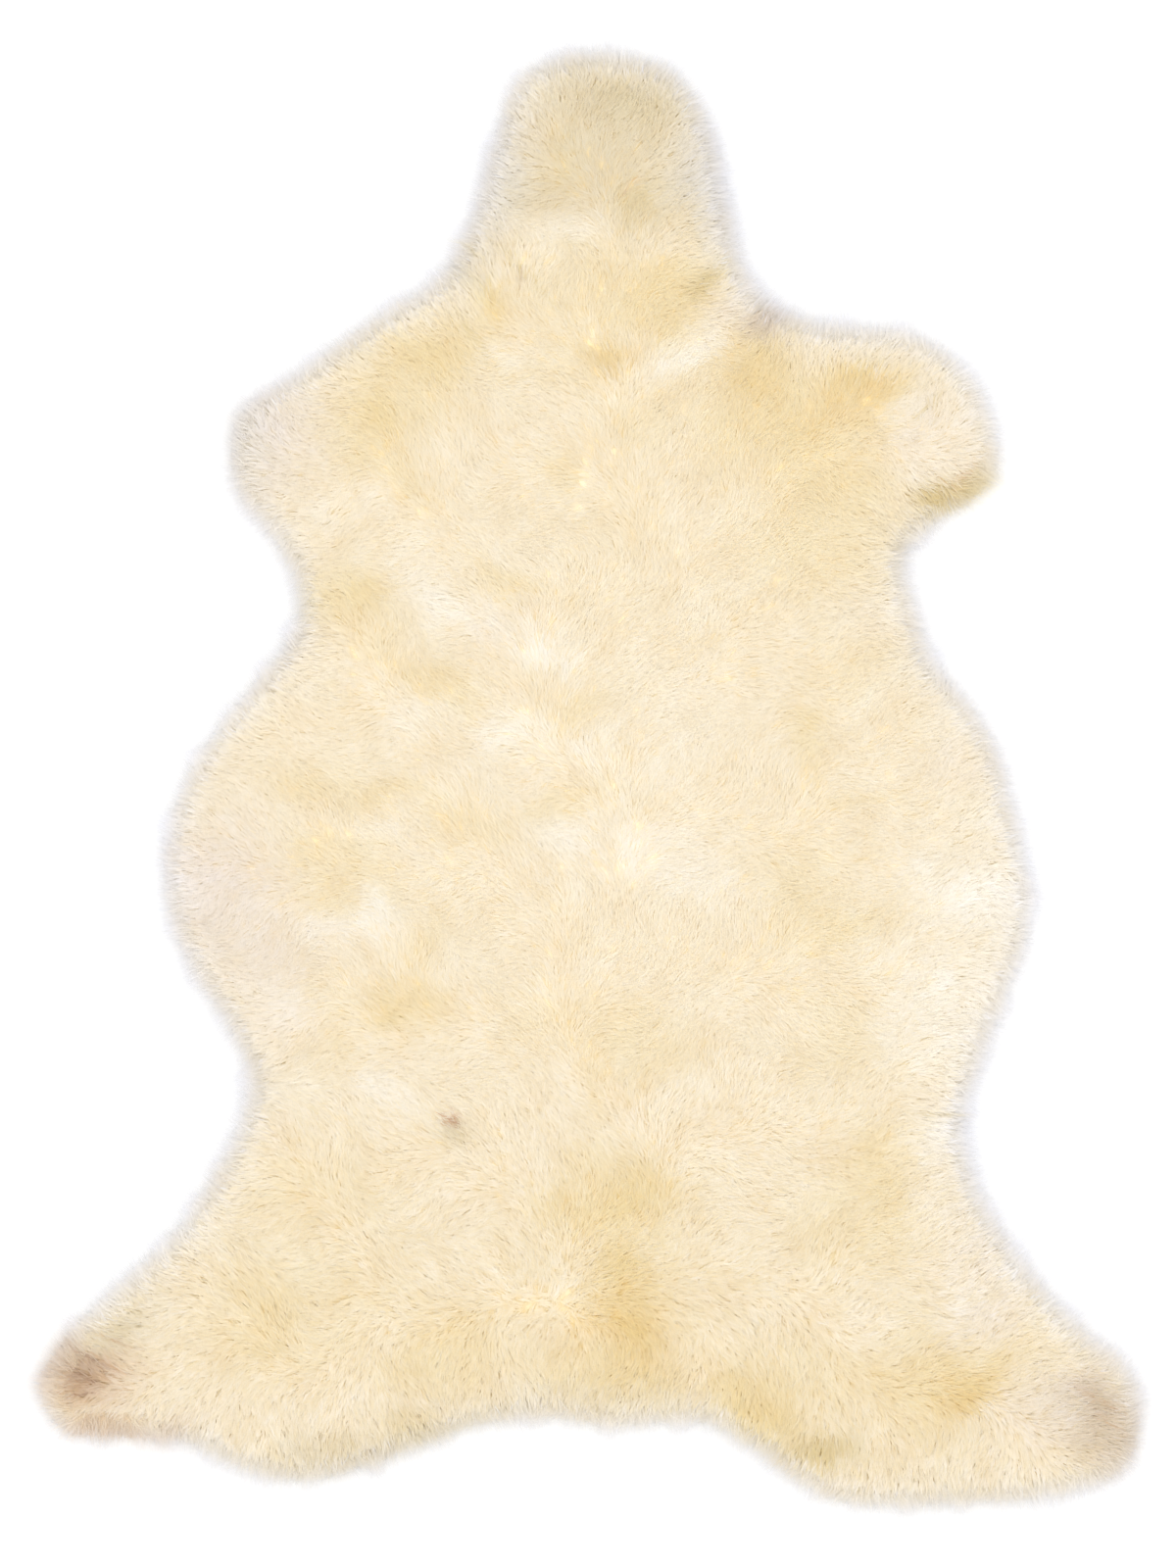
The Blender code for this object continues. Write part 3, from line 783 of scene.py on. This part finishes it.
def filled(ring, spacing):
    """Points and triangles that fill the ring, with points inside it in staggered rows."""
    lowest, highest = ring.min(axis=0), ring.max(axis=0)
    levels = np.arange(lowest[1], highest[1], spacing * ROW_GAP)
    inner = np.array([
        (x + (row % 2) * spacing / 2, y)
        for row, y in enumerate(levels)
        for x in np.arange(lowest[0], highest[0], spacing)])
    inner = inner[in_parts(lambda part: within(part, ring), inner)]
    inner = inner[gap_to(ring, inner) > spacing * RING_CLEAR]
    points = [Vector(p) for p in np.vstack([ring, inner])]
    loop = [list(range(len(ring)))]
    flat, _, faces, *_ = delaunay_2d_cdt(points, [], loop, WITHIN_BORDER, TINY)
    return np.array([tuple(p) for p in flat]), faces


def closed_sheet(name, points, faces, top, bottom, edge_count):
    """A closed mesh between two heights over the same filled ring."""
    bm = bmesh.new()
    upper = [bm.verts.new((x, y, z)) for (x, y), z in zip(points, top)]
    lower = [bm.verts.new((x, y, z)) for (x, y), z in zip(points, bottom)]
    for face in faces:
        bm.faces.new([upper[k] for k in face])
        bm.faces.new([lower[k] for k in reversed(face)])
    for k in range(edge_count):
        n = (k + 1) % edge_count
        bm.faces.new([upper[k], lower[k], lower[n], upper[n]])
    bmesh.ops.recalc_face_normals(bm, faces=bm.faces)
    mesh = bpy.data.meshes.new(name)
    bm.to_mesh(mesh)
    bm.free()
    return mesh


# %% Suede material
SUEDE_SHINE = {"Roughness": 0.9, "Sheen Weight": 0.2}
CLOUDS, NAP = 9.0, 900.0  # spots along a metre, of the uneven tan and of the brushed nap
DEEP_TAN, PALE_TAN = (0.3, (0.52, 0.42, 0.30, 1)), (0.7, (0.72, 0.62, 0.49, 1))
NAP_TINT, NAP_BUMP, NAP_DEPTH = 0.25, 0.35, 0.4 * MM


def suede_material():
    material, tree, shader = plain_material("suede", SUEDE_SHINE)
    place = node(tree, "ShaderNodeTexCoord")
    clouds = node(tree, "ShaderNodeTexNoise", Scale=CLOUDS, Detail=5.0)
    nap = node(tree, "ShaderNodeTexNoise", Scale=NAP, Detail=3.0)
    ramp = node(tree, "ShaderNodeValToRGB")
    for stop, (position, tan) in zip(ramp.color_ramp.elements, (DEEP_TAN, PALE_TAN)):
        stop.position, stop.color = position, tan
    mix = node(
        tree, "ShaderNodeMix", data_type="RGBA", blend_type="MULTIPLY", Factor=NAP_TINT)
    bump = node(tree, "ShaderNodeBump", Strength=NAP_BUMP, Distance=NAP_DEPTH)
    link(tree, place, "Object", clouds, "Vector")
    link(tree, place, "Object", nap, "Vector")
    link(tree, clouds, "Fac", ramp, "Fac")
    link(tree, ramp, "Color", mix, "A")
    link(tree, nap, "Color", mix, "B")
    link(tree, mix, "Result", shader, "Base Color")
    link(tree, nap, "Fac", bump, "Height")
    link(tree, bump, "Normal", shader, "Normal")
    return material


suede = suede_material()
print("suede material:", suede.name)

# %% Lay the hide on the floor
HIDE_SPACING = 14 * MM

flat_points, flat_faces = filled(hide_ring, HIDE_SPACING)
hide_mesh = closed_sheet(
    "hide", flat_points, flat_faces,
    np.full(len(flat_points), HIDE_THICKNESS), np.zeros(len(flat_points)), len(hide_ring))
hide = show("hide", hide_mesh, suede)

# %% [markdown]
# ## The underwool
# Under the locks lies a dense mass that hardly any light passes. More locks could fill it,
# but they would never be seen, so it is one closed body about two millimetres below the
# wool's surface. The locks root in it, and no gap between them shows the floor. Its top
# follows the chart and is roughened into small curls, since bits of it show through the
# partings. It lies deeper under the rump, whose wool falls in coarser strands with deeper
# clefts between them.

# %% Build the underwool
TUCK_PLACES = (-0.36, -0.12)  # along the skin, at the rump and before it
TUCK = (2.8 * MM, 1.7 * MM)  # how far it stays below the wool's surface there
TUCK_AT_EDGE, EDGE_WIDTH = 0.55, 0.02  # the share of it at the edge, and where all of it is
CURLS, CURL_HEIGHT = ((1.0, 0.006, 21), (1.0, 0.009, 22)), 0.15 * MM
CORE_OUTSET = 4 * MM
CORE_SPACING = 5 * MM
CORE_EDGE_POINTS = 560
CORE_LEAST = 1.5 * MM  # how thick it is at least
HEM_CLEAR, HIDE_CLEAR = 0.4 * MM, 0.1 * MM  # below it, over the floor and over the hide

core_ring = resample(wool_ring, CORE_EDGE_POINTS)
core_ring = core_ring + ways_out(core_ring) * CORE_OUTSET
core_points, core_faces = filled(core_ring, CORE_SPACING)
core_edge = np.clip((read(depth_chart, core_points)[:, 0] + CORE_OUTSET) / EDGE_WIDTH, 0, 1)
tuck = np.interp(core_points[:, 1], TUCK_PLACES, TUCK)
tuck = tuck * (TUCK_AT_EDGE + (1 - TUCK_AT_EDGE) * core_edge)
core_top = read(height_chart, core_points)[:, 0] - tuck
core_top = core_top + CURL_HEIGHT * layered(core_points, CURLS)
over_hide = in_parts(lambda part: within(part, hide_ring), core_points)
core_top = np.maximum(core_top, np.where(over_hide, HIDE_THICKNESS, 0.0) + CORE_LEAST)
core_bottom = np.where(over_hide, HIDE_THICKNESS + HIDE_CLEAR, HEM_CLEAR)
core_mesh = closed_sheet(
    "underwool", core_points, core_faces, core_top, core_bottom, len(core_ring))
core_mesh.shade_smooth()
core_places = np.array([v.co for v in core_mesh.vertices])
paint_points(core_mesh, wool_colour(core_places[:, :2]))
core = show("underwool", core_mesh, underwool)

# %% [markdown]
# ## Locks of wool
# Fibres never stand alone. They gather in small locks whose tips lean together, and the dark
# fine lines between the locks are what makes fleece look like fleece. Blender can grow hair,
# but hair has to become a mesh before it can leave Blender. So the wool is planted as a mesh,
# lock by lock: places are scattered over the skin, each lock takes its way from the chart, and
# a handful of blades share its bend and curl. A blade is a thin strip of fibres with a root,
# a bend and a tip. It is pointed at both ends and widest at the bend, so that two triangles
# make it. Locks and blades differ a little in yellowness.

# %% Scatter the locks
LOCK_PITCH = 3.3 * MM
SCATTER = 0.42  # how far a lock may stray from its place in the rows, as a share of the pitch
LEAST_ROOM = 5 * MM  # how far in from the wool's end a lock has to stand
rng = np.random.default_rng(20)

spots_x, spots_y = np.meshgrid(
    np.arange(low[0], high[0], LOCK_PITCH), np.arange(low[1], high[1], LOCK_PITCH * ROW_GAP))
spots_x = spots_x + (np.arange(len(spots_x)) % 2)[:, None] * LOCK_PITCH / 2
locks = np.column_stack([spots_x.ravel(), spots_y.ravel()])
locks = locks + rng.uniform(-SCATTER, SCATTER, locks.shape) * LOCK_PITCH
locks = locks[read(depth_chart, locks)[:, 0] > LEAST_ROOM - WOOL_PAST_FOOT]
print(len(locks), "locks")


# %% The line of a blade and the light on it
BEND_RISE, BEND_REACH = 0.55, 0.42  # where along its way a blade bends
BEND_CURL, TIP_CURL = 0.7, -0.3  # how far its curl carries the bend and the tip sideways
FLOOR_CLEAR = (0.3 * MM, 1.6 * MM)
FLEECE_LIGHT, OWN_LIGHT = 0.85, 0.15  # the fleece's part of a blade's normal, and its own part
SOFT_LIGHT = (1.3, 2.2)  # how far light in the wool evens them, at the rim and inside
SOFT_FROM = 0.12
UP = np.array([0.0, 0.0, 1.0])
BLADE_FACES = ((0, 1, 3), (1, 2, 3))
BLADE_ALONG = np.array([0.0, 0.5, 1.0, 0.5])


def blade_line(start, fall, lift, length, curl, rise, reach):
    """The bend, the tip and the way across of blades that start at the given points."""
    side = unit(np.cross(fall, lift))
    bend = start + length * (BEND_RISE * rise * lift + BEND_REACH * reach * fall)
    tip = start + length * (rise * lift + reach * fall)
    return bend + BEND_CURL * curl * side, tip + TIP_CURL * curl * side, side


def off_floor(corners, rng):
    """Blades that would reach into the floor lie on it, one a little above the other."""
    clear = rng.uniform(*FLOOR_CLEAR, (len(corners), 1))
    corners[:, :, 2] = np.maximum(corners[:, :, 2], clear)
    return corners


def soft_normals(points, lift, own):
    soft = np.interp(read(depth_chart, points)[:, 0], (0, SOFT_FROM), SOFT_LIGHT)[:, None]
    return unit(FLEECE_LIGHT * lift + OWN_LIGHT * own + soft * UP)[:, None]


print("two triangles make a blade:", BLADE_FACES)

# %% Shape the blades of every lock
BLADES = 8
BLADE_LENGTH = (11 * MM, 19 * MM)
LENGTHS_VARY = (0.85, 1.15)  # within a lock
ROOM_TAKEN = (0.5, 1.25)  # near the rim a blade is at most this share of the room it has
BLADE_WIDTH = (0.8 * MM, 1.35 * MM)
WANDER = 0.11  # how much a lock strays from the combed way, most where that is weak
FANNED = math.radians(7)  # how much the blades of a lock part
LOCK_CURL, BLADE_CURL = 1.5 * MM, 0.5 * MM
STANDING = 0.7  # how much further up than the surface's own way a blade rises
RISE, RISE_VARIES, REACH = 0.13, 0.02, 0.85  # up and along, as shares of a blade's length
DEPTH_VARIES = 0.25 * MM
GATHER = 0.25  # how much the tips of a lock lean together
ROOT_SPREAD = 1.56 * MM
STREAK = 4 * MM  # how far along its fall a blade may carry the colour of its neighbours
LOCKS_DIFFER = np.array([0.004, 0.007, 0.018])  # in red, green and blue, so mostly in yellowness
BLADES_DIFFER = np.array([0.005, 0.009, 0.024])
DIFFER_MORE_AT_RUMP = ((-0.32, -0.12), (1.7, 0.9))  # places along the skin, and shares there


def plant(locks, rng):
    """Every blade of the given locks, with its normals and colours."""
    total = len(locks) * BLADES

    def to_blades(values):
        return np.repeat(values, BLADES, axis=0)

    lock_fall = read(fall_chart, locks) + rng.normal(0, WANDER, (len(locks), 2))
    lock_length = rng.uniform(*BLADE_LENGTH, len(locks))
    lock_curl = rng.normal(0, LOCK_CURL, len(locks))
    offset = rng.normal(0, ROOT_SPREAD, (total, 2))
    roots = to_blades(locks) + offset
    way = unit(turned_by(to_blades(lock_fall), rng.normal(0, FANNED, total)))
    lift = unit(read(normal_chart, roots) + STANDING * UP)
    fall = np.column_stack([way, np.zeros(total)])
    fall = fall - (fall * lift).sum(axis=1, keepdims=True) * lift
    length = (to_blades(lock_length) * rng.uniform(*LENGTHS_VARY, total))[:, None]
    room = np.maximum(read(depth_chart, roots) + WOOL_PAST_FOOT, LEAST_ROOM)
    length = np.minimum(length, room * rng.uniform(*ROOM_TAKEN, (total, 1)))
    width = rng.uniform(*BLADE_WIDTH, total)[:, None]
    curl = to_blades(lock_curl)[:, None] + rng.normal(0, BLADE_CURL, (total, 1))
    rise = rng.normal(RISE, RISE_VARIES, (total, 1))
    up = read(height_chart, roots) - rise * length + rng.normal(0, DEPTH_VARIES, (total, 1))
    start = np.hstack([roots, up])
    bend, tip, side = blade_line(start, fall, lift, length, curl, rise, REACH)
    tip[:, :2] -= GATHER * offset
    bend[:, :2] -= GATHER * offset / 2
    half = side * width / 2
    corners = off_floor(np.stack([start, bend + half, tip, bend - half], axis=1), rng)
    seen = (bend + tip)[:, :2] / 2 + way * rng.normal(0, STREAK, (total, 1))
    differ = to_blades(rng.normal(0, 1, (len(locks), 1)) * LOCKS_DIFFER)
    differ = differ + rng.normal(0, 1, (total, 1)) * BLADES_DIFFER
    differ *= np.interp(seen[:, 1], *DIFFER_MORE_AT_RUMP)[:, None]
    colours = np.minimum(wool_colour(seen) * (1 + differ), WHITEST)[:, None]
    own = unit(np.cross(half, tip - start))
    own = own * np.sign((own * lift).sum(axis=1, keepdims=True))
    return corners, BLADE_FACES, soft_normals(roots, lift, own), colours, BLADE_ALONG


print("a lock has", BLADES, "blades")

# %% [markdown]
# ## Six areas of wool
# A groomer combs a fleece in areas. One mesh could hold all of it, but the same split keeps
# each mesh light: left and right of the back, and fore, flank and hind. Nothing shows where
# the areas meet, because all of them are planted from the same chart.

# %% Plant the locks area by area
FORE_FROM, HIND_FROM = 110 * MM, -190 * MM

left = locks[:, 0] < BACK_LINE
fore, hind = locks[:, 1] > FORE_FROM, locks[:, 1] < HIND_FROM
wool_pieces = [core]
for part, on_part in (("fore", fore), ("flank", ~fore & ~hind), ("hind", hind)):
    for side, on_side in (("left", left), ("right", ~left)):
        name = f"wool_{part}_{side}"
        planted = joined(name, [plant(locks[on_part & on_side], rng)])
        wool_pieces.append(show(name, planted, combed_wool))

# %% [markdown]
# ## The soft rim
# Round the rim the wool hangs out past the hide and down to the floor. A see-through edge
# could fake that from above, but not from the side. So short blades stand out all the way from
# the foot of the wool to its shoulder, and finer fibres reach past them and fade into the
# floor, which gives the rug its soft halo.

# %% Plant the rim
BLADES_OUT = dict(step=0.42 * MM, layers=4, reach=6.5 * MM, spread=3 * MM, width=0.7 * MM)
FIBRES_OUT = dict(step=0.3 * MM, layers=9, reach=8.5 * MM, spread=6 * MM, width=0.28 * MM,
                  fibre=True)
SHORTEST, LONGEST = 2 * MM, 26 * MM
RIM_TOP, RIM_BOTTOM = 18 * MM, 1 * MM  # the highest and the lowest root
ROOTS_BACK = (2 * MM, 6 * MM)  # how far in the lowest root is, and how much more the top
RIM_TUFTS = ((0.05, 0.007, 32), (0.03, 0.02, 33))  # ripples in the length
RIM_SWAYS, RIM_STRAYS = ((math.radians(15), 0.02, 31),), math.radians(14)
RIM_LIFT, RIM_DROOP = 0.5, 0.5  # how far blades lean out as they rise, and how they fall
RIM_HALF_WIDTHS = (0.3, 0.6)
RIM_CURL = 0.9 * MM
RIM_RISE, RIM_RISE_VARIES = 0.10, 0.07
RIM_DIFFERS = 0.015
SMOOTH_OVER = 14  # points of the ring to either side, so that no corner of the ring shows
FIBRE_FACES, FIBRE_ALONG = ((0, 1, 2),), np.array([0.0, 0.0, 1.0])

ring_ways = unit(sum(np.roll(ways_out(fine_ring), shift, axis=0)
                     for shift in range(-SMOOTH_OVER, SMOOTH_OVER + 1)))


def round_the_rim(count, rng):
    """Points of the wool's foot at random, and the way out at each."""
    stations = rng.uniform(0, len(fine_ring), count)
    at = stations.astype(int)
    step = np.roll(fine_ring, -1, axis=0)[at] - fine_ring[at]
    points = fine_ring[at] + (stations - at)[:, None] * step
    turn = layered(points, RIM_SWAYS) + rng.normal(0, RIM_STRAYS, count)
    return points, turned_by(ring_ways[at], turn)


def rim_blades(rng, step, layers, reach, spread, width, fibre=False):
    """Blades with two triangles, or fibres with one, all round the foot of the wool."""
    count = int(ring_length(wool_ring) / step) * layers
    points, out = round_the_rim(count, rng)
    share = rng.uniform(0, 1, count)
    up = np.maximum(RIM_TOP * share, RIM_BOTTOM)[:, None]
    back = (ROOTS_BACK[0] + ROOTS_BACK[1] * share)[:, None]
    start = np.hstack([points - out * back, up])
    tuft = 1 + layered(points, RIM_TUFTS)
    past = rng.exponential(spread, count) if fibre else rng.normal(0, spread, count)
    length = np.clip((reach + past) * tuft, SHORTEST, LONGEST)[:, None] + back
    lift = unit(np.column_stack([out * RIM_LIFT, np.ones(count)]))
    fall = np.hstack([out, -RIM_DROOP * up / length])
    half_width = rng.uniform(*RIM_HALF_WIDTHS, (count, 1)) * width
    curl = rng.normal(0, RIM_CURL, (count, 1))
    rise = rng.normal(RIM_RISE, RIM_RISE_VARIES, (count, 1))
    bend, tip, side = blade_line(start, fall, lift, length, curl, rise, 1.0)
    half = side * half_width
    seen = points + out * (length / 2 - back)
    colours = wool_colour(seen)[:, None] * rng.normal(1, RIM_DIFFERS, (count, 1, 1))
    if fibre:
        corners, faces, along = (start - half, start + half, tip), FIBRE_FACES, FIBRE_ALONG
    else:
        corners, faces, along = (start, bend + half, tip, bend - half), BLADE_FACES, BLADE_ALONG
    corners = off_floor(np.stack(corners, axis=1), rng)
    return corners, faces, soft_normals(points, lift, lift), colours, along


rim_bunches = [rim_blades(rng, **BLADES_OUT), rim_blades(rng, **FIBRES_OUT)]
wool_pieces.append(show("wool_rim", joined("wool_rim", rim_bunches), combed_wool))

print("the hide carries", len(wool_pieces), "pieces of wool with",
      sum(triangles(piece.data) for piece in wool_pieces), "triangles")

# %% [markdown]
# ## Floor and light
# The rug lies on a plain white floor in a soft, even studio light. Several lamps could give
# it, but a large lamp overhead and a bright surround are enough: the lamp shades the rounded
# rim a little, and the surround keeps the floor white and its shadow faint.

# %% Floor
FLOOR_SIZE = 12.0
FLOOR_SHINE = {"Roughness": 1.0, "Specular IOR Level": 0.0}
FLOOR_SHADES = {"To Min": 0.70, "To Max": 0.72}
FLOOR_GRAIN = 60.0

bpy.ops.mesh.primitive_plane_add(size=FLOOR_SIZE)
floor = bpy.context.object
floor.name = "floor"
floor_paint, floor_tree, floor_shader = plain_material("floor", FLOOR_SHINE)
grain = node(floor_tree, "ShaderNodeTexNoise", Scale=FLOOR_GRAIN, Detail=2.0)
shades = node(floor_tree, "ShaderNodeMapRange", **FLOOR_SHADES)
link(floor_tree, grain, "Fac", shades, "Value")
link(floor_tree, shades, "Result", floor_shader, "Base Color")
floor.data.materials.append(floor_paint)
print("floor laid")

# %% Surround and overhead lamp
SURROUND = 1.03
LAMP_HEIGHT, LAMP_SIZE, LAMP_POWER = 3.2, 3.0, 80.0

world = bpy.data.worlds.new("studio")
bpy.context.scene.world = world
world.use_nodes = True
background = world.node_tree.nodes["Background"]
background.inputs["Color"].default_value = PURE_WHITE
background.inputs["Strength"].default_value = SURROUND

lamp = in_scene("lamp", bpy.data.lights.new("lamp", "AREA"))
lamp.data.size = LAMP_SIZE
lamp.data.energy = LAMP_POWER
lamp.location = (0.0, 0.0, LAMP_HEIGHT)
lamp.visible_camera = False
bpy.context.scene.view_settings.view_transform = "Standard"
print("lit by a surround of", SURROUND, "and a lamp of", LAMP_POWER, "W")
